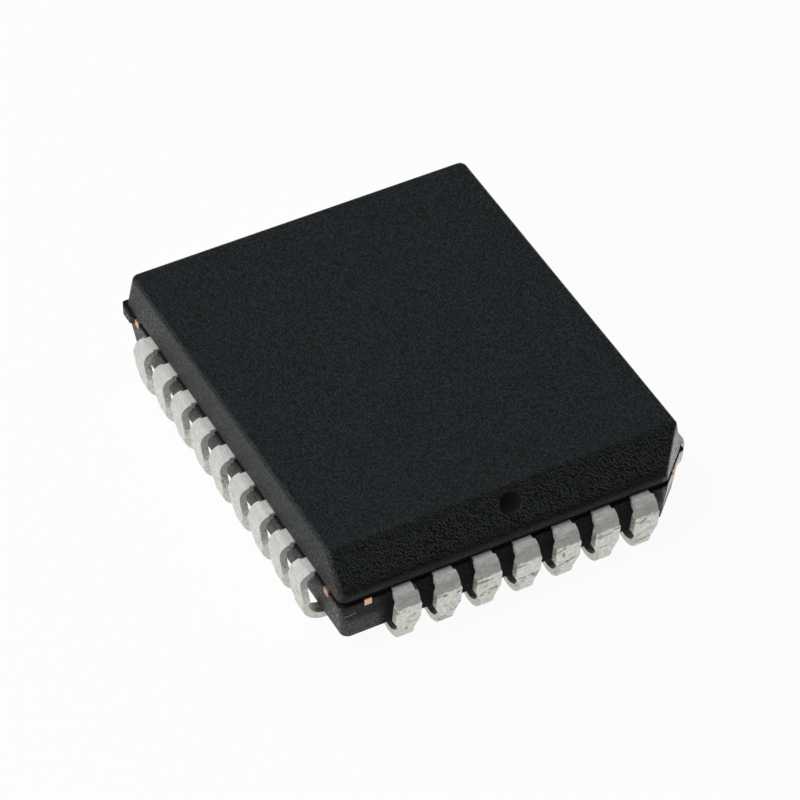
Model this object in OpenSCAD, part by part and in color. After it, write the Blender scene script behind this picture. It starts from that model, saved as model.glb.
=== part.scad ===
// Plastic leaded chip carrier: a moulded body with J leads on its four sides.
// Millimetres. The seating plane is z = 0, +Z is up, and the bevelled index side faces -Y.

/* [Body] */
// Width of the moulding, across its long sides (X)
body_w = 11.43; // [10.9:0.01:12.4]
// Length of the moulding, across its short sides (Y)
body_l = 13.97; // [13.4:0.01:15]
// Height of the moulding above the top of the leads
upper_h = 1.215; // [1.1:0.005:1.6]
// Depth of the moulding below the top of the leads
lower_h = 1.47; // [1.3:0.01:1.55]
// Draft angle of the side walls
draft = 7.7; // [2:0.1:10]
// Radius of the upright corners
corner_r = 0.24; // [0.05:0.01:0.3]
// Radius of the top edges
edge_r = 0.12; // [0.04:0.01:0.25]
// Depth of the groove along the parting line
groove_d = 0.08; // [0.02:0.01:0.12]
// Rise of the groove above the top of the leads
groove_rise = 0.13; // [0.06:0.01:0.2]
// Depth of the groove below the top of the leads
groove_drop = 0.1; // [0.04:0.01:0.18]

/* [Index marks] */
// Leg of the cut corner
index_cut = 1; // [0.7:0.01:1.3]
// Run of the bevel, measured level
bevel_run = 1.12; // [0.8:0.01:1.6]
// Drop of the bevel, measured upright
bevel_drop = 0.915; // [0.6:0.005:0.95]
// Radius along the lower edge of the bevel
bevel_low_r = 0.1; // [0.04:0.01:0.15]
// Radius along the upper edge of the bevel
bevel_top_r = 0.4; // [0.1:0.01:0.6]
// Radius along the two sloping edges of the bevel
bevel_side_r = 0.15; // [0.05:0.01:0.25]
// Diameter of the dimple beside the first lead
dimple_d = 0.72; // [0.4:0.01:0.85]
// Depth of the dimple
dimple_depth = 0.24; // [0.1:0.01:0.3]
// Distance of the dimple's middle from the wall, measured level
dimple_in = 0.66; // [0.5:0.01:0.7]

/* [Leads] */
// Leads on each short side
leads_short = 7; // [5:2:7]
// Leads on each long side
leads_long = 9; // [7:2:9]
// Lead spacing
pitch = 1.27; // [1.2:0.01:1.3]
// Thickness of the lead frame
lead_t = 0.22; // [0.15:0.01:0.25]
// Height of the lead's top over the seating plane
lead_z = 2.1; // [2.05:0.01:2.4]
// Reach of the lead beyond the moulding
lead_reach = 0.48; // [0.44:0.01:0.6]
// Width of the neck at the moulding
neck_w = 0.58; // [0.45:0.01:0.65]
// Length of the neck
neck_l = 0.13; // [0.1:0.01:0.2]
// Width of the shoulder
shoulder_w = 0.69; // [0.66:0.01:0.74]
// Inside radius of the shoulder
shoulder_r = 0.13; // [0.08:0.01:0.18]
// Outward flare left at the end of the shoulder bend
flare = 6; // [2:1:12]
// Inward lean of the leg below its crease
lean = 7; // [4:1:10]
// Straight length of the leg above its crease
upper_leg = 0.1; // [0.04:0.01:0.16]
// Width of the leg below its crease
leg_w = 0.79; // [0.75:0.01:0.85]
// Inside radius of the crease
crease_r = 0.03; // [0.02:0.01:0.08]
// Drop from the lead's top to where the leg starts to narrow
taper_drop = 1.05; // [0.8:0.01:1.1]
// Length of the narrowing
taper_l = 0.4; // [0.3:0.01:0.5]
// Width of the foot
foot_w = 0.42; // [0.33:0.01:0.53]
// Inside radius of the foot
foot_r = 0.53; // [0.48:0.01:0.58]
// Turn of the tip past the lowest point of the foot
tip_turn = 78; // [60:1:80]

/* [Underside] */
// Room around a lead tip in its pocket
pocket_gap = 0.12; // [0.08:0.01:0.16]
// Depth of a tip pocket
pocket_depth = 0.3; // [0.25:0.01:0.4]
// Diameter of an ejector mark
ejector_d = 1.5; // [1:0.1:2]
// Depth of an ejector mark
ejector_depth = 0.06; // [0.02:0.01:0.1]
// Distance between the two ejector marks
ejector_gap = 6.4; // [4:0.1:8]

/* [Mould marks] */
// Length of the gate remnant along the long side
gate_l = 0.52; // [0.3:0.01:0.6]
// Length of the gate remnant along the short side
gate_w = 0.35; // [0.2:0.01:0.5]
// Depth of the gate remnant below the top of the leads
gate_drop = 0.38; // [0.25:0.01:0.5]
// Rise of the gate remnant above the top of the leads
gate_rise = 0.07; // [0.02:0.01:0.12]
// How far the gate remnant stands proud
gate_proud = 0.08; // [0.02:0.01:0.15]
// Length of the flash lip beside the cut corner
flash_l = 0.44; // [0.2:0.01:0.48]
// Thickness of the flash lip
flash_t = 0.11; // [0.05:0.01:0.15]
// How far the flash lip stands proud
flash_proud = 0.13; // [0.04:0.01:0.16]
// Distance of the flash lip's tip from the cut corner, along the long side
flash_tip = 0.03; // [0:0.01:0.08]

/* [Inside] */
// Width of the die paddle
paddle_w = 5.2; // [4.6:0.1:5.6]
// Length of the die paddle
paddle_l = 6.8; // [6.2:0.1:7.2]
// Width of the die
die_w = 3.6; // [3.4:0.1:3.9]
// Length of the die
die_l = 4.9; // [4.5:0.1:5.3]
// Thickness of the die
die_t = 0.3; // [0.2:0.01:0.4]
// Thickness of the die-attach layer
attach_t = 0.03; // [0.02:0.01:0.06]
// Border of the die-attach layer around the die
attach_border = 0.12; // [0.05:0.01:0.2]
// Width of a tie bar
tie_w = 0.3; // [0.26:0.01:0.34]
// Width of a tie bar's sawn end
tie_end_w = 0.23; // [0.15:0.01:0.25]
// Distance of a sawn end from its corner
tie_inset = 0.85; // [0.75:0.01:0.95]
// How far a sawn end stands proud of the moulding
tie_proud = 0.03; // [0.01:0.01:0.06]
// Gap between the paddle and the finger tips
finger_gap = 0.35; // [0.25:0.01:0.45]
// Width of a finger tip
finger_w = 0.32; // [0.22:0.01:0.36]
// Straight stub of a finger inside the wall
finger_stub = 0.6; // [0.4:0.01:0.9]
// Spacing of the finger tips
finger_pitch = 0.76; // [0.7:0.01:0.78]
// Diameter of a bond wire
wire_d = 0.04; // [0.03:0.005:0.05]
// Height of a wire loop over the die
loop_h = 0.2; // [0.16:0.01:0.3]
// Diameter of the ball at a wire's start
ball_d = 0.1; // [0.08:0.01:0.12]
// Height of the ball
ball_h = 0.03; // [0.02:0.005:0.05]
// Spacing of the bond pads on the die
pad_pitch = 0.48; // [0.4:0.01:0.5]
// Distance of the bond pads from the die's edge
pad_inset = 0.14; // [0.1:0.01:0.2]
// Distance of a wire's landing from the finger's tip
landing = 0.22; // [0.15:0.01:0.3]

/* [Hidden] */
$fn = 48;
half_w = body_w / 2;
half_l = body_l / 2;
body_bottom = lead_z - lower_h;
body_top = lead_z + upper_h;
die_top = lead_z + attach_t + die_t;
// A length past everything, and an overrun for cuts
far = body_w + body_l;
margin = 0.1;
// Straight steps in a rounded edge, and the turn between the facets of an upright corner
arc_steps = 6;
corner_step = 15;
// Size of the bend at the top of a wire, in wire diameters
knuckle = 1.2;

MOULD = [0.09, 0.1, 0.11];
TIN = [0.74, 0.74, 0.72];
COPPER = [0.78, 0.45, 0.26];
SILVER_EPOXY = [0.6, 0.6, 0.62];
SILICON = [0.32, 0.34, 0.4];
GOLD = [0.9, 0.7, 0.28];

// The sides run counter-clockwise from the index side: front, right, rear, left.
SIDES = [0, 1, 2, 3];
function side_angle(side) = 180 + 90 * side;
function is_short(side) = side % 2 == 0;
function side_leads(side) = is_short(side) ? leads_short : leads_long;
function side_half(side) = is_short(side) ? half_l : half_w;
function side_die(side) = (is_short(side) ? die_l : die_w) / 2;
function side_ring(side) = (is_short(side) ? paddle_l : paddle_w) / 2 + finger_gap;

// Place of a finger's middle along its side, by the distance from its tip.
function finger_run(side) = side_half(side) - side_ring(side) - finger_stub;
function finger_x(slot, from_tip) =
    slot[1] * (finger_pitch + (pitch - finger_pitch) * from_tip / finger_run(slot[0]));

// Every lead as [side, steps from the middle of its side]. Lead one is the middle of the front.
ROW = [for (s = SIDES) for (i = [0:side_leads(s) - 1]) [s, (side_leads(s) - 1) / 2 - i]];
lead_count = len(ROW);
function lead_slot(k) = ROW[(k + (leads_short - 1) / 2) % lead_count];
function lead_name(k) = str("lead_", k < 9 ? "0" : "", k + 1);

// The lead is a bent strip. A heading of 0 degrees is outward, and 90 is down.
shoulder_out = shoulder_r + lead_t;
crease_out = crease_r + lead_t;
foot_out = foot_r + lead_t;
heading_crease = 90 - flare;
heading_leg = 90 + lean;
upper_y = upper_leg * cos(heading_crease);
shoulder_z = lead_z + shoulder_out * (cos(heading_crease) - 1);
crease_z = shoulder_z - upper_leg * sin(heading_crease);
neck_run = lead_reach - crease_out - upper_y - (shoulder_out - crease_out) * sin(heading_crease);
leg_z = crease_z + crease_out * (cos(heading_leg) - cos(heading_crease));
leg_len = (leg_z - foot_out * (1 + cos(heading_leg))) / sin(heading_leg);
leg_y = lead_reach - crease_out * (1 - sin(heading_leg));
foot_y = leg_y + leg_len * cos(heading_leg) - foot_out * sin(heading_leg);

// Each step of the strip is [run, inside radius, turn]: straight where the turn is 0, else a bend.
STRIP = [[neck_run, 0, 0],
         [0, shoulder_r, heading_crease],
         [upper_leg, 0, 0],
         [0, crease_r, heading_leg - heading_crease],
         [leg_len, 0, 0],
         [0, foot_r, 180 + tip_turn - heading_leg]];

function unit(v) = v / norm(v);

// Points of the arc of radius r that rounds corner b of the path a, b, c.
function corner_arc(a, b, c, r) =
    let (u = unit(a - b),
         v = unit(c - b),
         half = acos(u * v) / 2,
         centre = b + unit(u + v) * r / sin(half),
         first = b + u * r / tan(half) - centre,
         last = b + v * r / tan(half) - centre)
    [for (i = [0:arc_steps]) centre + r * unit(first * (arc_steps - i) + last * i)];

// The closed outline through the points, with each corner rounded by its radius, 0 for sharp.
function rounded(points, radii) =
    let (n = len(points))
    [for (i = [0:n - 1])
        each radii[i] == 0 ? [points[i]]
            : corner_arc(points[(i + n - 1) % n], points[i], points[(i + 1) % n], radii[i])];

// Plan of the moulding at the parting line, drawn in by an inset.
function plan(inset) =
    let (x = half_w - inset,
         y = half_l - inset,
         cut = index_cut - inset * (2 - sqrt(2)))
    rounded([[x, y], [-x, y], [-x, -y], [x - cut, -y], [x, cut - y]],
            [corner_r, corner_r, corner_r, 0, 0]);

// Distance of a wall or a corner's facet from the middle, by the angle that it faces.
function wall_out(angle) =
    (half_w - corner_r) * abs(cos(angle)) + (half_l - corner_r) * abs(sin(angle)) + corner_r;

// How much faster than a wall a corner's facet leans in.
function wall_lean(angle) = abs(cos(angle)) + abs(sin(angle));

// Upright section of a drafted wall, from far behind the middle out to the wall.
function wall_section(out, lean_rate) =
    let (slope = tan(draft) * lean_rate,
         top_in = (upper_h - groove_rise) * slope,
         bottom_in = (lower_h - lead_t) * slope)
    rounded([[-far, body_bottom], [out - bottom_in, body_bottom], [out, lead_z - lead_t],
             [out, lead_z + groove_rise], [out - top_in, body_top], [-far, body_top]],
            [0, 0, 0, 0, edge_r, 0]);

// Upright section of the index side, with its bevel.
function bevel_section(out) =
    let (bottom_in = (lower_h - lead_t) * tan(draft))
    rounded([[-far, body_bottom], [out - bottom_in, body_bottom], [out, lead_z - lead_t],
             [out, body_top - bevel_drop], [out - bevel_run, body_top], [-far, body_top]],
            [0, 0, 0, bevel_low_r, bevel_top_r, 0]);

// Everything inside a wall that faces the given angle.
module within(angle, section) {
    rotate([90, 0, angle])
        linear_extrude(height = 2 * far, center = true)
            polygon(section);
}

// Everything behind a plane, by its normal and its distance from the origin.
module behind(normal, distance) {
    rotate([0, acos(normal.z), atan2(normal.y, normal.x)])
        translate([0, 0, distance - far])
            cube(2 * far, center = true);
}

// Everything behind the rounded edge where the bevel meets a drafted wall.
module bevel_edge(angle, out) {
    bevel = unit([0, -bevel_drop, bevel_run]);
    wall = [cos(draft) * cos(angle), cos(draft) * sin(angle), sin(draft)];
    bevel_axis = bevel * [0, -half_l, body_top - bevel_drop] - bevel_side_r;
    wall_axis = cos(draft) * out + sin(draft) * (lead_z + groove_rise) - bevel_side_r;
    intersection_for(step = [1:arc_steps - 1]) {
        mix = bevel * step + wall * (arc_steps - step);
        axis = bevel_axis * step + wall_axis * (arc_steps - step);
        behind(unit(mix), axis / norm(mix) + bevel_side_r);
    }
}

// The plain moulding: drafted walls, three rounded corners, the cut corner and the bevel.
module moulding() {
    cut_out = (half_w + half_l - index_cut) / sqrt(2);
    intersection() {
        within(-90, bevel_section(half_l));
        within(-45, wall_section(cut_out, 1));
        intersection_for(angle = [0:corner_step:270 - corner_step])
            within(angle, wall_section(wall_out(angle), wall_lean(angle)));
        bevel_edge(-45, cut_out);
        bevel_edge(180, half_w);
    }
}

// Groove along the parting line, across the top of the leads.
module parting_groove() {
    translate([0, 0, lead_z - groove_drop])
        linear_extrude(height = groove_drop + groove_rise)
            difference() {
                square(2 * far, center = true);
                polygon(plan(groove_d));
            }
}

// Round-bottomed dimple, square to the bevel.
module index_dimple() {
    sphere_r = (pow(dimple_d / 2, 2) + pow(dimple_depth, 2)) / (2 * dimple_depth);
    normal = unit([0, -bevel_drop, bevel_run]);
    middle = [0, dimple_in - half_l, body_top - bevel_drop * (1 - dimple_in / bevel_run)];
    translate(middle + normal * (sphere_r - dimple_depth))
        sphere(r = sphere_r);
}

// Broken-off remnant of the gate, at the rear left corner across the parting line.
module gate_remnant() {
    x = -half_w - gate_proud;
    y = half_l + gate_proud;
    translate([0, 0, lead_z - gate_drop])
        linear_extrude(height = gate_drop + gate_rise)
            polygon(rounded([[x + gate_w, y], [x, y], [x, y - gate_l],
                             [x + gate_w, y - gate_l - gate_w]],
                            [0, gate_proud, 0, 0]));
}

// Thin flash lip on the right side, beside the cut corner.
module flash_lip() {
    y = index_cut - half_l;
    x = half_w + flash_proud;
    root = half_w - groove_d - margin;
    translate([0, 0, lead_z - flash_t])
        linear_extrude(height = flash_t)
            polygon([[root, y], [half_w, y], [x, y + flash_tip],
                     [x, y + flash_l - flash_proud], [root, y + flash_l]]);
}

// Pocket in the underside that a lead's tip turns up into.
module tip_pocket() {
    inner = foot_y - foot_out * sin(tip_turn) - pocket_gap;
    outer = foot_y - foot_out / 2;
    width = foot_w + 2 * pocket_gap;
    translate([-width / 2, inner, body_bottom - margin])
        cube([width, outer - inner, pocket_depth + margin]);
}

module ejector_marks() {
    for (end = [-1, 1])
        translate([0, end * ejector_gap / 2, body_bottom - margin])
            cylinder(d = ejector_d, h = ejector_depth + margin);
}

// Children drawn at a lead's place: x along the side, y outward from the wall, z from the seat.
module at_lead(k) {
    slot = lead_slot(k);
    rotate([0, 0, side_angle(slot[0])])
        translate([slot[1] * pitch, side_half(slot[0]), 0])
            children();
}

// Flat finger of a lead inside the moulding, from the wall to its tip beside the paddle.
module finger(k) {
    slot = lead_slot(k);
    tip_x = finger_x(slot, 0) - slot[1] * pitch;
    tip_y = side_ring(slot[0]) - side_half(slot[0]);
    translate([0, 0, lead_z - lead_t])
        linear_extrude(height = lead_t)
            polygon([[neck_w / 2, 0], [-neck_w / 2, 0], [-neck_w / 2, -finger_stub],
                     [tip_x - finger_w / 2, tip_y], [tip_x + finger_w / 2, tip_y],
                     [neck_w / 2, -finger_stub]]);
}

// The bent strip from a step onward, its outer face at z = 0 and heading along +Y.
module strip(width, step = 0) {
    if (step < len(STRIP)) {
        run = STRIP[step][0];
        radius = STRIP[step][1];
        turn = STRIP[step][2];
        if (turn == 0) {
            translate([-width / 2, 0, -lead_t])
                cube([width, run, lead_t]);
            translate([0, run, 0])
                strip(width, step + 1);
        } else {
            translate([0, 0, -lead_t - radius]) {
                rotate([0, -90, 0])
                    rotate_extrude(angle = turn)
                        translate([radius, -width / 2])
                            square([lead_t, width]);
                rotate([-turn, 0, 0])
                    translate([0, 0, lead_t + radius])
                        strip(width, step + 1);
            }
        }
    }
}

// Front outline of a lead outside the moulding: it widens at the crease and narrows to the foot.
module lead_front() {
    upper = shoulder_w / 2;
    wide = leg_w / 2;
    slim = foot_w / 2;
    taper_z = lead_z - taper_drop;
    rotate([90, 0, 0])
        linear_extrude(height = 2 * far, center = true)
            polygon([[upper, lead_z + margin], [-upper, lead_z + margin], [-upper, shoulder_z],
                     [-wide, leg_z], [-wide, taper_z], [-slim, taper_z - taper_l],
                     [-slim, -margin], [slim, -margin], [slim, taper_z - taper_l],
                     [wide, taper_z], [wide, leg_z], [upper, shoulder_z]]);
}

// The J outside the moulding: neck, shoulder, leg, foot and tip.
module j_bend() {
    difference() {
        intersection() {
            translate([0, 0, lead_z])
                strip(leg_w + margin);
            lead_front();
        }
        for (end = [-1, 1])
            translate([end * (neck_w + margin + shoulder_w) / 2, neck_l / 2, lead_z])
                cube([shoulder_w + margin, neck_l, 2 * shoulder_out], center = true);
    }
}

module lead(k) {
    color(TIN)
        at_lead(k) {
            finger(k);
            j_bend();
        }
}

// Straight bar in plan.
module bar(from, to, width) {
    along = unit(to - from);
    across = [-along.y, along.x] * width / 2;
    polygon([from + across, from - across, to - across, to + across]);
}

// Tie bar from a corner of the paddle, forked to the two walls of the moulding's corner.
module forked_tie(corner) {
    root = [corner.x * (paddle_w - tie_w) / 2, corner.y * (paddle_l - tie_w) / 2];
    fork = [corner.x * (half_w - tie_inset), corner.y * (half_l - tie_inset)];
    bar(root, fork, tie_w);
    translate(fork)
        circle(d = tie_w);
    bar(fork, [fork.x, corner.y * far], tie_end_w);
    bar(fork, [corner.x * far, fork.y], tie_end_w);
}

// Tie bar to the middle of the cut corner.
module index_tie() {
    root = [(paddle_w - tie_w) / 2, (tie_w - paddle_l) / 2];
    middle = [half_w - index_cut / 2, index_cut / 2 - half_l];
    bend = middle - [tie_inset, -tie_inset] / 2;
    bar(root, bend, tie_w);
    translate(bend)
        circle(d = tie_w);
    bar(bend, middle + [tie_inset, -tie_inset], tie_end_w);
}

module die_paddle() {
    color(COPPER)
        translate([0, 0, lead_z - lead_t])
            linear_extrude(height = lead_t)
                intersection() {
                    union() {
                        square([paddle_w, paddle_l], center = true);
                        for (corner = [[1, 1], [-1, 1], [-1, -1]])
                            forked_tie(corner);
                        index_tie();
                    }
                    polygon(plan(-tie_proud));
                }
}

module die_attach() {
    color(SILVER_EPOXY)
        translate([0, 0, lead_z + attach_t / 2])
            cube([die_w + 2 * attach_border, die_l + 2 * attach_border, attach_t], center = true);
}

module die() {
    color(SILICON)
        translate([0, 0, die_top - die_t / 2])
            cube([die_w, die_l, die_t], center = true);
}

// Round rod between two points.
module rod(from, to, d) {
    way = to - from;
    translate(from)
        rotate([0, acos(way.z / norm(way)), atan2(way.y, way.x)])
            cylinder(d = d, h = norm(way));
}

// One wire: ball on the die, riser, bend, and the run down to the finger's top face.
module bond_wire(k) {
    slot = lead_slot(k);
    pad = [slot[1] * pad_pitch, side_die(slot[0]) - pad_inset, die_top];
    peak = pad + [0, 0, loop_h];
    land = [finger_x(slot, landing), side_ring(slot[0]) + landing, lead_z];
    rotate([0, 0, side_angle(slot[0])])
        intersection() {
            union() {
                translate(pad)
                    cylinder(d = ball_d, h = ball_h);
                rod(pad, peak, wire_d);
                translate(peak)
                    sphere(d = wire_d * knuckle);
                rod(peak, land + unit(land - peak) * margin, wire_d);
            }
            translate([-far, -far, lead_z])
                cube([2 * far, 2 * far, upper_h]);
        }
}

module bond_wires() {
    color(GOLD)
        for (k = [0:lead_count - 1])
            bond_wire(k);
}

module body() {
    color(MOULD)
        difference() {
            union() {
                difference() {
                    moulding();
                    parting_groove();
                }
                gate_remnant();
                flash_lip();
            }
            index_dimple();
            ejector_marks();
            for (k = [0:lead_count - 1])
                at_lead(k) {
                    tip_pocket();
                    finger(k);
                }
            die_paddle();
            die_attach();
            die();
            bond_wires();
        }
}

body();
for (k = [0:lead_count - 1])
    lead(k);
die_paddle();
die_attach();
die();
bond_wires();
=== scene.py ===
import math

import bmesh
import bpy
from mathutils import Matrix, Vector


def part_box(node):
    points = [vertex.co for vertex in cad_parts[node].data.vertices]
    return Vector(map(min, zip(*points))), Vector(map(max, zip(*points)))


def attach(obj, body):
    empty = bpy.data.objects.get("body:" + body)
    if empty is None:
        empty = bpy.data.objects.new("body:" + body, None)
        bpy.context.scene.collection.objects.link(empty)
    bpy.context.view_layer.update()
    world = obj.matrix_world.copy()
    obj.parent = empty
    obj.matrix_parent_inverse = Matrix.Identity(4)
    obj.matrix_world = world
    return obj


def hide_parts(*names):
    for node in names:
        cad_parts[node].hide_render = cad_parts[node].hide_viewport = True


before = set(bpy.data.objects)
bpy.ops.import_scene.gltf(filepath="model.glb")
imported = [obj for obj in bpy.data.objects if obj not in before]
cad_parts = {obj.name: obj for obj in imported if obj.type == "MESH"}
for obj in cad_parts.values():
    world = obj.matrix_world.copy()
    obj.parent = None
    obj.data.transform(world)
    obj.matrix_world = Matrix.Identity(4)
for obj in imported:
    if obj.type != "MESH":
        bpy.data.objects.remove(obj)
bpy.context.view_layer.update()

MM = 0.001
IMAGE_SIZE = 800

# The camera, as the photograph was taken: a long lens from the front left
CAMERA_AZIMUTH = math.radians(-27.742)
CAMERA_ELEVATION = math.radians(44.041)
CAMERA_DISTANCE = 123.433 * MM
CAMERA_RIGHT = -0.166 * MM
CAMERA_UP = -0.4 * MM
SENSOR_WIDTH = 36
FOCAL_PIXELS = 4247.6

# The floor: half its width, its white, and the share of pure white seen straight on and mirrored
FLOOR_REACH = 400 * MM
FLOOR_WHITE = 0.95
FLOOR_GLOW = 0.945
FLOOR_MIRRORED = 0.75

# The surround: its strength in front of the part and behind it, the way to the back, and between
# which cosines with that way the strength changes
SKY_FRONT = 0.05
SKY_BACK = 0.17
SKY_BACK_WAY = (0.45, 0.89, 0)
SKY_CHANGE = (-0.7, 0.7)

# The square lamp, high on the left
LAMP_WAY = Vector((-0.5, 0.03, 0.866))
LAMP_DISTANCE = 500 * MM
LAMP_SIZE = 400 * MM
LAMP_RADIANCE = 3.9

# Places on the part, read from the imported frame
LEAD_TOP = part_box("die_paddle")[1].z
LEG_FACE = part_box("lead_01")[0].y
FRONT_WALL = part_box("body")[0].y
REAR_WALL = -FRONT_WALL

# Half the width of the moulding, and half the length of a short side's lead row
SIDE_WALL = 5.715 * MM
ROW_REACH = 4.25 * MM

# The bevel: its depth, where it meets the top, the way down its slope, and how its streaks run down it
BEVEL_RUN = 1.12 * MM
BEVEL_EDGE = FRONT_WALL + BEVEL_RUN
BEVEL_FALL = Vector((0, -0.774, -0.633))
STREAK_WAY = Vector((0.4, 0, 0)) + 0.917 * BEVEL_FALL
STREAK_STRETCH = 1.7

# The chamfered corner, by how far x goes beyond y
CHAMFER_REACH = 11.6 * MM

# The dimple on the bevel, painted black as shade
DIMPLE_MIDDLE = Vector((0.02, -6.3, 2.96)) * MM
DIMPLE_RADIUS = 0.37 * MM

# The parting groove, from its lowest to its highest level, painted black as shade
GROOVE = (LEAD_TOP - 0.1 * MM, LEAD_TOP + 0.13 * MM)
GROOVE_SOFTNESS = 0.01 * MM

# Zones of the moulding's finish and of its painted shade: where each begins to show, and where it shows
# in full
IN_FRONT = (BEVEL_EDGE + 0.35 * MM, BEVEL_EDGE - 0.35 * MM)
ABOVE_LEADS = (LEAD_TOP + 0.2 * MM, LEAD_TOP + 0.3 * MM)
BELOW_LEADS = (LEAD_TOP + 0.1 * MM, LEAD_TOP)
AMONG_LEADS = (ROW_REACH + 0.35 * MM, ROW_REACH - 0.1 * MM)
NEAR_END = (REAR_WALL - 0.3 * MM, REAR_WALL - 0.25 * MM)
NEAR_SIDE = (SIDE_WALL - 0.2 * MM, SIDE_WALL - 0.16 * MM)
ON_CHAMFER = (CHAMFER_REACH - 0.1 * MM, CHAMFER_REACH)
IN_DIMPLE = (DIMPLE_RADIUS, 0.8 * DIMPLE_RADIUS)
LIP_FRONT = (FRONT_WALL + 0.09 * MM, FRONT_WALL + 0.06 * MM)
LIP_LEVEL = (LEAD_TOP + 0.36 * MM, LEAD_TOP + 0.3 * MM)
# Where painted shade at the bevel's foot begins, and where it is full
BEVEL_FOOT = (LEAD_TOP + 0.55 * MM, LEAD_TOP + 0.34 * MM)

# Grain of the moulding: its sizes, the step across the streaks over which a rise is painted lit or
# shaded, and its relief, which is stronger on the walls and weaker on the chamfer
TOP_GRAIN = 0.055 * MM
WALL_GRAIN = 0.06 * MM
STREAK_GRAIN = 0.044 * MM
STREAK_STEP = 0.02 * MM
MOULD_RELIEF = 0.008 * MM
WALL_ROUGHENING = 2.2
CHAMFER_SMOOTHING = 0.7

# Tones of the moulding from the low to the high points of its grain and the heights where they are
# reached;
# for the bevel's streaks, painted raking light: tones from painted shade to painted light across their
# rises, and the share of that painted light left under painted shade at the bevel's foot; and black
# painted as shade in the groove and the dimple
TOP_TONES = ((0.0, 0.001, 0.002, 1), (0.0205, 0.031, 0.0345, 1))
TOP_HEIGHTS = (0.38, 1.0)
STREAK_SHADING_TONES = ((0.0, 0.0, 0.0004, 1), (0.068, 0.081, 0.083, 1))
STREAK_RISES = (0.1, 0.58)
LOWER_TONES = ((0.0, 0.0004, 0.0004, 1), (0.022, 0.024, 0.023, 1))
LOWER_HEIGHTS = (0.5, 1.0)
FOOT_LIGHT = 0.3
SUNK_SHADE = (0, 0, 0, 1)

# Roughness of the moulding from the low to the high points of its grain, roughness and weight of the
# chamfer's glossy skin, the span of heights for each, and the dull places with the lip's share of that
TOP_ROUGHNESS = (0.38, 0.28)
TOP_SPAN = (0.0, 0.8)
WALL_ROUGHNESS = (0.62, 0.3)
WALL_SPAN = (0.1, 0.9)
CHAMFER_ROUGHNESS = 0.2
SKIN_ROUGHNESS = 0.2
SKIN_WEIGHTS = (0.2, 1.0)
SKIN_SPAN = (0.2, 0.8)
DULL = 1.0
LIP_DULLNESS = 0.6

# Rubbed flecks on the moulding, and the scratch near its front left corner by its ends and width
RUB_SIZE = 0.05 * MM
RUB_THRESHOLD = 0.725
RUB_TONE = (0.06, 0.065, 0.065, 1)
BODY_SCRATCH = (Vector((-5.55, -6.95, 1.6)) * MM, Vector((-5.25, -6.95, 1.65)) * MM, 0.05 * MM)
SCRATCH_TONE = (0.17, 0.17, 0.165, 1)

# Stamped edges of the leads
WELD_DISTANCE = 0.0002 * MM
FLAT_ANGLE = math.radians(0.5)
SHARP_ANGLE = math.radians(35)
SMOOTH_ANGLE = math.radians(20)
EDGE_ROUND = 0.018 * MM

# The crease of a lead, from the shoulder to the leg, its ridge with a painted highlight, and how far both
# waver
CREASE = (LEAD_TOP - 0.415 * MM, LEAD_TOP - 0.44 * MM)
RIDGE = (LEAD_TOP - 0.44 * MM, LEAD_TOP - 0.42 * MM)
RIDGE_SOFTNESS = 0.012 * MM
CREASE_WAVER = 0.02 * MM

# A leg's outer face below the crease, and how it leans in towards the foot
LEG_TOP = LEAD_TOP - 0.45 * MM
LEG_LEAN = math.tan(math.radians(6.9))

# Tin: spacing of its drawn lines, sizes of its scuffs and blotches, its relief with the drawn lines'
# share of that, its roughness, and how metallic the shoulders and the legs are
DRAWN_SPACING = 0.03 * MM
SCUFF_GRAIN = 0.1 * MM
BLOTCH_GRAIN = 0.15 * MM
TIN_RELIEF = 0.008 * MM
DRAWN_RELIEF = 0.3
TIN_ROUGHNESS = (0.42, 0.54)
SHOULDER_METAL = 0.15
LEG_METAL = 0.75

# Dark and light tones of the drawn tin on the shoulders, by side, the long sides' copy painted lighter as
# painted light, and of the scuffed tin on the legs
SHORT_SIDE_TONES = ((0.46, 0.46, 0.44, 1), (0.72, 0.72, 0.695, 1))
LONG_SIDE_LIT_TONES = ((0.68, 0.68, 0.65, 1), (0.95, 0.95, 0.92, 1))
LEG_TONES = ((0.64, 0.625, 0.57, 1), (0.92, 0.91, 0.85, 1))

# The most dark tone that blotches bring to the shoulders, and the painted highlight on the crease's ridge
CLOUD_SHARE = 0.75
RIDGE_HIGHLIGHT_TONE = (0.95, 0.95, 0.92, 1)
RIDGE_HIGHLIGHT_SHARE = 0.8

# Stains on the legs: large ones drawn out along the lines, and specks
STAIN_SIZE = 0.2 * MM
STAIN_SQUEEZE = (0.4, 1, 1)
STAIN_THRESHOLDS = (0.57, 0.66)
STAIN_CLOUDS = (0.2, 0.9)
STAIN_SHARE = 0.65
SPECK_SIZE = 0.09 * MM
SPECK_THRESHOLD = 0.685
LEG_STAIN_SHARE = 0.85
STAIN_TONE = (0.16, 0.135, 0.105, 1)

# The brown spot on a front lead's neck: two ends and a width
NECK_SPOT = (Vector((-3.5, -7.15, 2.1)) * MM, Vector((-3.5, -7.25, 2.05)) * MM, 0.06 * MM)
NECK_SPOT_TONE = (0.07, 0.018, 0.012, 1)

# Dark strokes on the front legs, which scuffs break up
STROKE_TONE = (0.03, 0.025, 0.018, 1)
STROKE_SHARES = (1.0, 0.55)
STROKE_SCUFFS = (0.1, 0.7)

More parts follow.
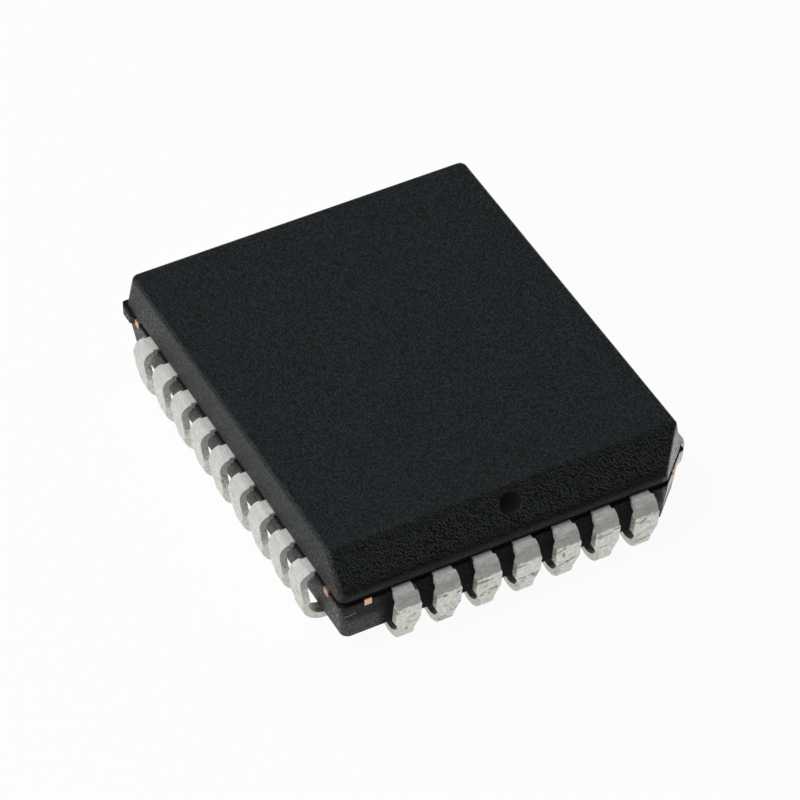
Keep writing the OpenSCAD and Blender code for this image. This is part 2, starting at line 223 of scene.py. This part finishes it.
# Each stroke has two ends, given across the leg from its middle and down from the crease, and a width,
# all in millimetres, and then a strength
FINE_STROKE = 0.045
STROKE = 0.055
BROAD_STROKE = 0.075
LEG_STROKES = {
    "lead_30": (((-0.05, 0.9), (-0.05, 0.95), STROKE, 0.7),
                ((-0.35, 0.05), (-0.15, 0.05), FINE_STROKE, 0.3),
                ((0.05, 0.45), (0.2, 0.4), BROAD_STROKE, 0.3)),
    "lead_31": (((-0.35, 0.05), (-0.1, 0.1), STROKE, 0.9),
                ((0.25, 0.15), (0.35, 0.1), FINE_STROKE, 0.9),
                ((-0.15, 0.55), (0.2, 0.6), FINE_STROKE, 0.4)),
    "lead_32": (((-0.35, 0.1), (-0.05, 0.15), BROAD_STROKE, 0.7),
                ((-0.15, 0.4), (-0.1, 0.35), BROAD_STROKE, 0.5),
                ((0.05, 0.6), (0.25, 0.6), BROAD_STROKE, 0.7),
                ((-0.25, 0.75), (-0.1, 0.65), STROKE, 0.7),
                ((0, 0.75), (0.05, 0.75), FINE_STROKE, 0.5)),
    "lead_01": (((-0.35, 0.1), (-0.15, 0.1), BROAD_STROKE, 0.7),
                ((-0.25, 0.65), (-0.1, 0.65), FINE_STROKE, 0.8),
                ((-0.2, 0.8), (-0.1, 0.75), FINE_STROKE, 0.7),
                ((0.05, 0.65), (0.3, 0.65), STROKE, 0.9),
                ((0.15, 0.75), (0.3, 0.75), FINE_STROKE, 0.6)),
    "lead_02": (((-0.35, 0.15), (-0.15, 0.05), BROAD_STROKE, 0.7),
                ((-0.15, 0.25), (-0.15, 0.4), STROKE, 0.7),
                ((-0.25, 0.75), (0.15, 0.65), STROKE, 0.9),
                ((0.15, 0.65), (0.25, 0.6), FINE_STROKE, 0.7)),
    "lead_03": (((-0.35, 0.1), (-0.2, 0.1), BROAD_STROKE, 0.6),
                ((-0.25, 0.65), (0, 0.65), STROKE, 0.4),
                ((0.2, 0.05), (0.35, 0.05), STROKE, 0.7)),
    "lead_04": (((-0.4, 0.1), (-0.3, 0.15), FINE_STROKE, 0.9),
                ((-0.2, 0.2), (-0.05, 0.1), BROAD_STROKE, 0.8),
                ((0.05, 0.65), (0.2, 0.6), BROAD_STROKE, 0.4),
                ((0.1, 0.05), (0.35, 0.05), FINE_STROKE, 0.4))}

# The copper ends: spacing, slant and relief of their saw lines, and their tones, roughness and metal
SAW_SPACING = 0.02 * MM
SAW_SLANT = math.radians(35)
SAW_RELIEF = 0.003 * MM
COPPER_TONES = ((0.66, 0.38, 0.26, 1), (0.9, 0.62, 0.47, 1))
COPPER_ROUGHNESS = (0.5, 0.35)
PURE_METAL = 1.0

# The inner pieces: grain, tones, roughness and metal of the silver epoxy and the gold, and the silicon's
# cells of circuitry
SILVER_GRAIN = 0.02 * MM
SILVER_TONES = ((0.42, 0.42, 0.44, 1), (0.7, 0.7, 0.72, 1))
SILVER_ROUGHNESS = (0.6, 0.4)
SILVER_METAL = 0.6
GOLD_GRAIN = 0.01 * MM
GOLD_TONES = ((0.95, 0.66, 0.24, 1), (1.0, 0.78, 0.36, 1))
GOLD_ROUGHNESS = (0.22, 0.34)
CELL_SIZE = 0.9 * MM
CELL_TONES = ((0.07, 0.08, 0.12, 1), (0.12, 0.12, 0.17, 1))
CELL_BORDER_TONE = (0.2, 0.19, 0.2, 1)
CELL_BORDER = 0.03
SILICON_ROUGHNESS = (0.2, 0.4)
SILICON_METAL = 0.4

# Shared effects: noise values that are stretched to 0 and 1, how slowly clouds change beside pebbles, how
# drawn lines are squeezed, the soft edge of a fleck, and the full core of a scratch
PEBBLE_SPAN = (0.32, 0.68)
CLOUD_SPAN = (0.3, 0.7)
LINE_SPAN = (0.3, 0.7)
CLOUD_RATE = 0.1
LINE_SQUEEZE = (0.06, 1, 1)
FLECK_SOFTNESS = 0.08
SCRATCH_CORE = 0.4
FULL_SPAN = (0.0, 1.0)


# Node helpers
def feed(tree, socket, value):
    """Links an input to another node's output, or sets it to a plain value."""
    if isinstance(value, bpy.types.NodeSocket):
        tree.links.new(value, socket)
    else:
        socket.default_value = value


def add(tree, kind, inputs=None, **settings):
    """A new node with the given settings and inputs."""
    node = tree.nodes.new(kind)
    for name, value in settings.items():
        setattr(node, name, value)
    for name, value in (inputs or {}).items():
        feed(tree, node.inputs[name], value)
    return node


def arithmetic(tree, operation, first, second=0.5, clamp=False):
    """One step of arithmetic on two numbers, or on the first alone."""
    node = add(tree, "ShaderNodeMath", {0: first, 1: second}, operation=operation, use_clamp=clamp)
    return node.outputs[0]


def times(tree, first, second):
    """The product of two numbers, or the place where two masks overlap."""
    return arithmetic(tree, "MULTIPLY", first, second)


def either(tree, first, second):
    """The larger of two masks."""
    return arithmetic(tree, "MAXIMUM", first, second)


def unsigned(tree, value):
    """A number without its sign."""
    return arithmetic(tree, "ABSOLUTE", value)


def vector_step(tree, operation, first, second):
    """The outputs of one step of arithmetic on two vectors."""
    return add(tree, "ShaderNodeVectorMath", {0: first, 1: second}, operation=operation).outputs


def ramp(tree, value, low, high, at_low=0.0, at_high=1.0):
    """A smooth step from one value to another as the input goes from low to high."""
    limits = {"Value": value, "From Min": low, "From Max": high, "To Min": at_low, "To Max": at_high}
    return add(tree, "ShaderNodeMapRange", limits, interpolation_type="SMOOTHSTEP").outputs["Result"]


def band(tree, value, low, high, softness):
    """1 between two values and 0 outside them, with soft ends."""
    return times(tree, ramp(tree, value, low - softness, low + softness),
                 ramp(tree, value, high + softness, high - softness))


def blend_value(tree, share, first, second):
    """A number between two, by a share from 0 to 1."""
    return add(tree, "ShaderNodeMix", {0: share, 2: first, 3: second}, data_type="FLOAT").outputs[0]


def blend_colour(tree, share, first, second):
    """A colour between two, by a share from 0 to 1."""
    return add(tree, "ShaderNodeMix", {0: share, 6: first, 7: second}, data_type="RGBA").outputs[2]


def noise(tree, place, rate, detail, roughness=0.5):
    """Noise from 0 to 1, with about the given number of lumps in a metre."""
    inputs = {"Vector": place, "Scale": rate, "Detail": detail, "Roughness": roughness}
    return add(tree, "ShaderNodeTexNoise", inputs).outputs["Fac"]


def new_group(name, vectors, numbers, results):
    """An empty shader group with these vector inputs, number inputs and number outputs."""
    group = bpy.data.node_groups.new(name, "ShaderNodeTree")
    for label in vectors:
        group.interface.new_socket(label, in_out="INPUT", socket_type="NodeSocketVector")
    for label in numbers:
        group.interface.new_socket(label, in_out="INPUT", socket_type="NodeSocketFloat")
    for label in results:
        group.interface.new_socket(label, in_out="OUTPUT", socket_type="NodeSocketFloat")
    return group, group.nodes.new("NodeGroupInput").outputs, group.nodes.new("NodeGroupOutput").inputs


def use_group(tree, group, inputs):
    """The outputs of a group placed in a material."""
    return add(tree, "ShaderNodeGroup", inputs, node_tree=group).outputs


# Effects that several materials share
def make_pebble_group():
    """Pebbled relief of a given grain size: its height, and a cloudy tone at ten times the size."""
    group, inputs, outputs = new_group("pebble", ["Vector"], ["Grain", "Detail"], ["Height", "Tone"])
    rate = arithmetic(group, "DIVIDE", 1.0, inputs["Grain"])
    fine = noise(group, inputs["Vector"], rate, inputs["Detail"], roughness=0.55)
    cloud = noise(group, inputs["Vector"], times(group, rate, CLOUD_RATE), detail=3.0)
    feed(group, outputs["Height"], ramp(group, fine, *PEBBLE_SPAN))
    feed(group, outputs["Tone"], ramp(group, cloud, *CLOUD_SPAN))
    return group


def make_fleck_group():
    """Scattered flecks of a given size. Fewer show as the threshold goes from 0.5 to 0.8."""
    group, inputs, outputs = new_group("fleck", ["Vector"], ["Size", "Threshold"], ["Mask"])
    rate = arithmetic(group, "DIVIDE", 1.0, inputs["Size"])
    lumps = noise(group, inputs["Vector"], rate, detail=3.0, roughness=0.6)
    upper = arithmetic(group, "ADD", inputs["Threshold"], FLECK_SOFTNESS)
    feed(group, outputs["Mask"], ramp(group, lumps, inputs["Threshold"], upper))
    return group


def make_drawn_line_group():
    """Fine lines along the first axis of the vector, at a given spacing."""
    group, inputs, outputs = new_group("drawn_lines", ["Vector"], ["Spacing"], ["Line"])
    rate = arithmetic(group, "DIVIDE", 1.0, inputs["Spacing"])
    drawn_out = vector_step(group, "MULTIPLY", inputs["Vector"], LINE_SQUEEZE)["Vector"]
    feed(group, outputs["Line"], ramp(group, noise(group, drawn_out, rate, detail=2.5), *LINE_SPAN))
    return group


def make_scratch_group():
    """A straight scratch between two points, of a given width."""
    group, inputs, outputs = new_group("scratch", ["Vector", "Start", "End"], ["Width"], ["Mask"])
    along = vector_step(group, "SUBTRACT", inputs["End"], inputs["Start"])["Vector"]
    reach = vector_step(group, "SUBTRACT", inputs["Vector"], inputs["Start"])["Vector"]
    done = vector_step(group, "DOT_PRODUCT", reach, along)["Value"]
    whole = vector_step(group, "DOT_PRODUCT", along, along)["Value"]
    share = arithmetic(group, "DIVIDE", done, whole, clamp=True)
    nearest = add(group, "ShaderNodeVectorMath", {0: along, "Scale": share}, operation="SCALE")
    gap = vector_step(group, "DISTANCE", reach, nearest.outputs["Vector"])["Value"]
    core = times(group, inputs["Width"], SCRATCH_CORE)
    feed(group, outputs["Mask"], ramp(group, gap, inputs["Width"], core))
    return group


PEBBLE = make_pebble_group()
FLECK = make_fleck_group()
DRAWN_LINES = make_drawn_line_group()
SCRATCH = make_scratch_group()


def pebble(tree, place, grain, detail):
    """The height and the tone of a pebbled relief."""
    return use_group(tree, PEBBLE, {"Vector": place, "Grain": grain, "Detail": detail})


def fleck(tree, place, size, threshold):
    """The mask of scattered flecks."""
    return use_group(tree, FLECK, {"Vector": place, "Size": size, "Threshold": threshold})["Mask"]


def drawn_lines(tree, place, spacing):
    """The height of fine lines along the first axis."""
    return use_group(tree, DRAWN_LINES, {"Vector": place, "Spacing": spacing})["Line"]


def scratch(tree, place, first, last, width):
    """The mask of a scratch, given by its ends and width in metres."""
    inputs = {"Vector": place, "Start": first, "End": last, "Width": width}
    return use_group(tree, SCRATCH, inputs)["Mask"]


def new_material(name):
    """A material, its tree and its principled shader."""
    material = bpy.data.materials.new(name)
    material.use_nodes = True
    tree = material.node_tree
    return material, tree, tree.nodes["Principled BSDF"]


def object_place(tree):
    """The place on the part, whole and as three numbers in metres."""
    place = add(tree, "ShaderNodeTexCoord").outputs["Object"]
    return place, add(tree, "ShaderNodeSeparateXYZ", {0: place}).outputs


def relief(tree, shader, height, depth):
    """Gives the shader a relief of the given depth in metres."""
    bump = add(tree, "ShaderNodeBump", {"Height": height, "Strength": 1.0, "Distance": depth})
    feed(tree, shader.inputs["Normal"], bump.outputs["Normal"])


# The black moulding
def moulding_zones(tree, place, axes):
    """Masks of the zones of the moulding, by name."""
    x, y, z = axes
    zone = {"bevel": times(tree, ramp(tree, y, *IN_FRONT), ramp(tree, z, *ABOVE_LEADS)),
            "lower": ramp(tree, z, *BELOW_LEADS),
            "chamfer": ramp(tree, arithmetic(tree, "SUBTRACT", x, y), *ON_CHAMFER),
            "lip": times(tree, ramp(tree, y, *LIP_FRONT), ramp(tree, z, *LIP_LEVEL))}
    from_middle = unsigned(tree, x)
    side = ramp(tree, from_middle, *NEAR_SIDE)
    rear = ramp(tree, y, *NEAR_END)
    zone["wall"] = either(tree, either(tree, side, zone["lower"]), either(tree, rear, zone["chamfer"]))
    end = ramp(tree, unsigned(tree, y), *NEAR_END)
    among_leads = ramp(tree, from_middle, *AMONG_LEADS)
    zone["behind_leads"] = times(tree, times(tree, end, among_leads), zone["lower"])
    groove = band(tree, z, *GROOVE, GROOVE_SOFTNESS)
    dimple = ramp(tree, vector_step(tree, "DISTANCE", place, DIMPLE_MIDDLE)["Value"], *IN_DIMPLE)
    zone["sunk"] = either(tree, groove, dimple)
    return zone


def bevel_grain(tree, place):
    """Grain drawn out down the bevel: its height, and the painted raking light and shade on its rises."""
    across = BEVEL_FALL.cross((1, 0, 0)).normalized().cross(STREAK_WAY)
    turn = Matrix((STREAK_WAY, across, STREAK_WAY.cross(across))).transposed().to_euler()
    drawn_out = {"Vector": place, "Rotation": turn, "Scale": (STREAK_STRETCH, 1, 1)}
    here = add(tree, "ShaderNodeMapping", drawn_out, vector_type="TEXTURE").outputs[0]
    beside = vector_step(tree, "ADD", here, (0, STREAK_STEP, 0))["Vector"]
    height = pebble(tree, here, STREAK_GRAIN, detail=1.0)["Height"]
    lower = pebble(tree, beside, STREAK_GRAIN, detail=1.0)["Height"]
    # Painted raking light: a rise across the step is painted light, a fall is painted shade
    return height, ramp(tree, arithmetic(tree, "SUBTRACT", height, lower), *STREAK_RISES)


def moulding_tone(tree, place, axes, zone, top, light, wall):
    """Colour of the moulding, from the grain of its top, bevel and walls, with painted raking light on
    the bevel's streaks, painted shade at the bevel's foot, and painted shade in the groove and the
    dimple.
    """
    foot_shade = ramp(tree, axes["Z"], *BEVEL_FOOT, 1.0, FOOT_LIGHT)
    plain = blend_colour(tree, ramp(tree, top, *TOP_HEIGHTS), *TOP_TONES)
    # Painted raking light and shade on the bevel's streaks, dimmed by painted shade at the bevel's foot
    streaked = blend_colour(tree, times(tree, light, foot_shade), *STREAK_SHADING_TONES)
    speckled = blend_colour(tree, ramp(tree, wall, *LOWER_HEIGHTS), *LOWER_TONES)
    tone = blend_colour(tree, zone["bevel"], plain, streaked)
    tone = blend_colour(tree, zone["lower"], tone, speckled)
    tone = blend_colour(tree, fleck(tree, place, RUB_SIZE, RUB_THRESHOLD), tone, RUB_TONE)
    tone = blend_colour(tree, scratch(tree, place, *BODY_SCRATCH), tone, SCRATCH_TONE)
    # Painted shade: the groove and the dimple are painted black
    return blend_colour(tree, zone["sunk"], tone, SUNK_SHADE)


def moulding_roughness(tree, zone, height, wall):
    """Roughness of the moulding: smooth on the chamfer, dull in the groove and behind the leads."""
    rough = ramp(tree, height, *TOP_SPAN, *TOP_ROUGHNESS)
    rough = blend_value(tree, zone["wall"], rough, ramp(tree, wall, *WALL_SPAN, *WALL_ROUGHNESS))
    rough = blend_value(tree, zone["chamfer"], rough, CHAMFER_ROUGHNESS)
    rough = blend_value(tree, times(tree, zone["lip"], LIP_DULLNESS), rough, DULL)
    rough = blend_value(tree, zone["behind_leads"], rough, DULL)
    return blend_value(tree, zone["sunk"], rough, DULL)


def mould_compound():
    """Black filled epoxy with the spark-eroded grain of its mould, streaked on the bevel."""
    material, tree, shader = new_material("mould_compound")
    place, axes = object_place(tree)
    zone = moulding_zones(tree, place, axes)
    top = pebble(tree, place, TOP_GRAIN, detail=1.5)["Height"]
    wall = pebble(tree, place, WALL_GRAIN, detail=2.0)["Height"]
    streak, light = bevel_grain(tree, place)
    height = blend_value(tree, zone["bevel"], top, streak)
    height = blend_value(tree, zone["wall"], height, times(tree, wall, WALL_ROUGHENING))
    height = times(tree, height, ramp(tree, zone["chamfer"], *FULL_SPAN, 1.0, CHAMFER_SMOOTHING))
    relief(tree, shader, height, MOULD_RELIEF)
    feed(tree, shader.inputs["Base Color"], moulding_tone(tree, place, axes, zone, top, light, wall))
    feed(tree, shader.inputs["Roughness"], moulding_roughness(tree, zone, height, wall))
    skin = times(tree, zone["chamfer"], ramp(tree, wall, *SKIN_SPAN, *SKIN_WEIGHTS))
    skin = times(tree, skin, ramp(tree, zone["sunk"], *FULL_SPAN, 1.0, 0.0))
    feed(tree, shader.inputs["Coat Weight"], skin)
    shader.inputs["Coat Roughness"].default_value = SKIN_ROUGHNESS
    return material


# The tinned leads
def leg_middle(lead):
    """The middle of a lead's leg, across the row, in metres."""
    across = [corner.co.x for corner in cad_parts[lead].data.vertices if corner.co.z < LEG_TOP]
    return (min(across) + max(across)) / 2


def leg_point(lead, across, drop):
    """A point on the outer face of a front leg, in metres."""
    x = leg_middle(lead) + across * MM
    return Vector((x, LEG_FACE + LEG_LEAN * drop * MM, LEG_TOP - drop * MM))


def leg_marks(tree, place):
    """The mask of the dark strokes on the legs of the front leads."""
    mask = 0.0
    for lead, strokes in LEG_STROKES.items():
        for first, last, width, strength in strokes:
            stroke = scratch(tree, place, leg_point(lead, *first), leg_point(lead, *last), width * MM)
            mask = either(tree, times(tree, stroke, strength), mask)
    return mask


def leg_stains(tree, place, turned, cloud):
    """The mask of the stains on the legs. Fewer of the large ones show where the cloud is light."""
    drawn_out = add(tree, "ShaderNodeMapping", {"Vector": turned, "Scale": STAIN_SQUEEZE}).outputs[0]
    threshold = ramp(tree, cloud, *STAIN_CLOUDS, *STAIN_THRESHOLDS)
    large = fleck(tree, drawn_out, STAIN_SIZE, threshold)
    specks = fleck(tree, place, SPECK_SIZE, SPECK_THRESHOLD)
    return either(tree, times(tree, large, STAIN_SHARE), specks)


def tin(name, turn, shoulder_tones):
    """Matt tin on a formed lead: smooth above the crease, burnished and marked below it, with a painted
    highlight along the crease's ridge.

    The strokes and the neck spot have their own places on the part, so only the front leads show them.
    """
    material, tree, shader = new_material(name)
    place, axes = object_place(tree)
    turned = add(tree, "ShaderNodeMapping", {"Vector": place, "Rotation": (0, 0, turn)}).outputs[0]
    lines = drawn_lines(tree, turned, DRAWN_SPACING)
    scuff = pebble(tree, place, SCUFF_GRAIN, detail=2.5)["Height"]
    blotch = pebble(tree, place, BLOTCH_GRAIN, detail=2.0)

    waver = ramp(tree, blotch["Height"], *FULL_SPAN, -CREASE_WAVER, CREASE_WAVER)
    level = arithmetic(tree, "ADD", axes["Z"], waver)
    on_leg = ramp(tree, level, *CREASE)
    ridge_highlight = band(tree, level, *RIDGE, RIDGE_SOFTNESS)

    shoulder = blend_colour(tree, lines, *shoulder_tones)
    clouded = times(tree, blotch["Height"], CLOUD_SHARE)
    shoulder = blend_colour(tree, clouded, shoulder, shoulder_tones[0])
    tone = blend_colour(tree, on_leg, shoulder, blend_colour(tree, scuff, *LEG_TONES))
    stains = leg_stains(tree, place, turned, blotch["Tone"])
    stains = times(tree, stains, times(tree, on_leg, LEG_STAIN_SHARE))
    tone = blend_colour(tree, stains, tone, STAIN_TONE)
    # Painted highlight along the crease's ridge
    tone = blend_colour(tree, times(tree, ridge_highlight, RIDGE_HIGHLIGHT_SHARE), tone, RIDGE_HIGHLIGHT_TONE)
    strokes = times(tree, leg_marks(tree, place), ramp(tree, scuff, *STROKE_SCUFFS, *STROKE_SHARES))
    tone = blend_colour(tree, strokes, tone, STROKE_TONE)
    tone = blend_colour(tree, scratch(tree, place, *NECK_SPOT), tone, NECK_SPOT_TONE)

    feed(tree, shader.inputs["Base Color"], tone)
    feed(tree, shader.inputs["Metallic"], blend_value(tree, on_leg, SHOULDER_METAL, LEG_METAL))
    feed(tree, shader.inputs["Roughness"], ramp(tree, scuff, *FULL_SPAN, *TIN_ROUGHNESS))
    relief(tree, shader, blend_value(tree, on_leg, times(tree, lines, DRAWN_RELIEF), scuff), TIN_RELIEF)
    return material


def rounded_lead(name, material):
    """A lead with rounded edges, in place of the sharp one."""
    shape = bmesh.new()
    shape.from_mesh(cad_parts[name].data)
    bmesh.ops.remove_doubles(shape, verts=shape.verts, dist=WELD_DISTANCE)
    bmesh.ops.dissolve_limit(shape, angle_limit=FLAT_ANGLE, verts=shape.verts, edges=shape.edges)
    sharp = [edge for edge in shape.edges if edge.calc_face_angle(0) > SHARP_ANGLE]
    bmesh.ops.bevel(shape, geom=sharp, offset=EDGE_ROUND, offset_type="OFFSET", affect="EDGES",
                    segments=2, profile=0.5, material=-1, clamp_overlap=True)
    for face in shape.faces:
        face.smooth = True
    for edge in shape.edges:
        edge.smooth = edge.calc_face_angle(0) < SMOOTH_ANGLE
    mesh = bpy.data.meshes.new("rounded_" + name)
    shape.to_mesh(mesh)
    shape.free()
    mesh.materials.clear()
    mesh.materials.append(material)
    lead = bpy.data.objects.new("rounded_" + name, mesh)
    bpy.context.scene.collection.objects.link(lead)
    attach(lead, "root")
    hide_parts(name)


# The copper, the paste, the die and the wires
def frame_copper():
    """Bare copper of the lead frame, with saw lines on its cut ends."""
    material, tree, shader = new_material("frame_copper")
    place, _ = object_place(tree)
    slanted = add(tree, "ShaderNodeMapping", {"Vector": place, "Rotation": (0, SAW_SLANT, 0)}).outputs[0]
    lines = drawn_lines(tree, slanted, SAW_SPACING)
    feed(tree, shader.inputs["Base Color"], blend_colour(tree, lines, *COPPER_TONES))
    feed(tree, shader.inputs["Roughness"], ramp(tree, lines, *FULL_SPAN, *COPPER_ROUGHNESS))
    relief(tree, shader, lines, SAW_RELIEF)
    shader.inputs["Metallic"].default_value = PURE_METAL
    return material


def grained_metal(name, grain, tones, roughness, metallic):
    """Metal whose fine grain varies its tone and its gloss."""
    material, tree, shader = new_material(name)
    place, _ = object_place(tree)
    height = pebble(tree, place, grain, detail=2.0)["Height"]
    feed(tree, shader.inputs["Base Color"], blend_colour(tree, height, *tones))
    feed(tree, shader.inputs["Roughness"], ramp(tree, height, *FULL_SPAN, *roughness))
    shader.inputs["Metallic"].default_value = metallic
    return material


def silicon():
    """Dark polished silicon with faint blocks of circuitry."""
    material, tree, shader = new_material("silicon")
    place, _ = object_place(tree)
    cells = add(tree, "ShaderNodeTexBrick", {"Vector": place, "Scale": 1 / CELL_SIZE,
                                             "Color1": CELL_TONES[0], "Color2": CELL_TONES[1],
                                             "Mortar": CELL_BORDER_TONE, "Mortar Size": CELL_BORDER})
    feed(tree, shader.inputs["Base Color"], cells.outputs["Color"])
    rough = ramp(tree, cells.outputs["Fac"], *FULL_SPAN, *SILICON_ROUGHNESS)
    feed(tree, shader.inputs["Roughness"], rough)
    shader.inputs["Metallic"].default_value = SILICON_METAL
    return material


def coat(node, material):
    """Gives a CAD node its finish."""
    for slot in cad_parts[node].material_slots:
        slot.material = material


def dress_part():
    """Gives every node its finish, and every lead its rounded edges."""
    coat("body", mould_compound())
    tin_short = tin("tin_short_sides", 0.0, SHORT_SIDE_TONES)
    # The long sides' leads get a lighter copy of the same tin, as painted light
    tin_long_lit = tin("tin_long_sides_lit", math.radians(90), LONG_SIDE_LIT_TONES)
    for name in list(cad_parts):
        if name.startswith("lead_"):
            low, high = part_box(name)
            on_short_side = abs(low.y + high.y) > abs(low.x + high.x)
            rounded_lead(name, tin_short if on_short_side else tin_long_lit)
    coat("die_paddle", frame_copper())
    paste = grained_metal("silver_epoxy", SILVER_GRAIN, SILVER_TONES, SILVER_ROUGHNESS, SILVER_METAL)
    coat("die_attach", paste)
    coat("die", silicon())
    coat("bond_wires", grained_metal("gold", GOLD_GRAIN, GOLD_TONES, GOLD_ROUGHNESS, PURE_METAL))


# The studio
def white_floor():
    """White that keeps a faint shadow and can be looked through from below."""
    material = bpy.data.materials.new("white_floor")
    material.use_nodes = True
    tree = material.node_tree
    tree.nodes.clear()
    lit = add(tree, "ShaderNodeBsdfDiffuse", {"Color": (FLOOR_WHITE, FLOOR_WHITE, FLOOR_WHITE, 1)})
    glow = add(tree, "ShaderNodeEmission", {"Color": (1, 1, 1, 1), "Strength": 1.0})
    path = add(tree, "ShaderNodeLightPath").outputs
    direct = either(tree, path["Is Camera Ray"], path["Is Transmission Ray"])
    mirrored = times(tree, path["Is Glossy Ray"], FLOOR_MIRRORED)
    share = either(tree, times(tree, direct, FLOOR_GLOW), mirrored)
    top = add(tree, "ShaderNodeMixShader", {0: share, 1: lit.outputs[0], 2: glow.outputs[0]})
    clear = add(tree, "ShaderNodeBsdfTransparent")
    under = add(tree, "ShaderNodeNewGeometry").outputs["Backfacing"]
    whole = add(tree, "ShaderNodeMixShader", {0: under, 1: top.outputs[0], 2: clear.outputs[0]})
    add(tree, "ShaderNodeOutputMaterial", {"Surface": whole.outputs[0]})
    return material


def make_floor():
    """A flat floor under the part."""
    mesh = bpy.data.meshes.new("floor")
    shape = bmesh.new()
    bmesh.ops.create_grid(shape, x_segments=1, y_segments=1, size=FLOOR_REACH)
    shape.to_mesh(mesh)
    shape.free()
    mesh.materials.append(white_floor())
    floor = bpy.data.objects.new("floor", mesh)
    bpy.context.scene.collection.objects.link(floor)


def make_sky():
    """Soft studio surround, dimmer in front of the part than behind it, and white to the camera."""
    world = bpy.data.worlds.new("studio")
    bpy.context.scene.world = world
    world.use_nodes = True
    tree = world.node_tree
    way = add(tree, "ShaderNodeTexCoord").outputs["Generated"]
    behind = vector_step(tree, "DOT_PRODUCT", way, SKY_BACK_WAY)["Value"]
    dim = ramp(tree, behind, *SKY_CHANGE, SKY_FRONT, SKY_BACK)
    seen = add(tree, "ShaderNodeLightPath").outputs["Is Camera Ray"]
    background = tree.nodes["Background"]
    background.inputs["Color"].default_value = (1, 1, 1, 1)
    feed(tree, background.inputs["Strength"], blend_value(tree, seen, dim, 1.0))


def make_key_light():
    """The square lamp, facing the part."""
    lamp = bpy.data.lights.new("key_light", "AREA")
    lamp.size = LAMP_SIZE
    lamp.energy = LAMP_RADIANCE * math.pi * LAMP_SIZE * LAMP_SIZE
    holder = bpy.data.objects.new("key_light", lamp)
    bpy.context.scene.collection.objects.link(holder)
    out = LAMP_WAY.normalized()
    holder.location = out * LAMP_DISTANCE
    holder.rotation_mode = "QUATERNION"
    holder.rotation_quaternion = out.to_track_quat("Z", "Y")


def make_camera():
    """The camera, aimed at the level of the leads' tops and moved a little in its own plane."""
    flat = math.cos(CAMERA_ELEVATION)
    back = Vector((math.sin(CAMERA_AZIMUTH) * flat, -math.cos(CAMERA_AZIMUTH) * flat,
                   math.sin(CAMERA_ELEVATION)))
    right = Vector((math.cos(CAMERA_AZIMUTH), math.sin(CAMERA_AZIMUTH), 0))
    up = back.cross(right)
    lens = bpy.data.cameras.new("camera")
    lens.sensor_width = SENSOR_WIDTH
    lens.lens = FOCAL_PIXELS * SENSOR_WIDTH / IMAGE_SIZE
    lens.clip_start = MM
    camera = bpy.data.objects.new("camera", lens)
    bpy.context.scene.collection.objects.link(camera)
    place = Vector((0, 0, LEAD_TOP)) + back * CAMERA_DISTANCE + right * CAMERA_RIGHT + up * CAMERA_UP
    camera.matrix_world = Matrix.Translation(place) @ Matrix((right, up, back)).transposed().to_4x4()
    bpy.context.scene.camera = camera


make_camera()
make_floor()
make_sky()
make_key_light()
bpy.context.scene.view_settings.view_transform = "Standard"
dress_part()
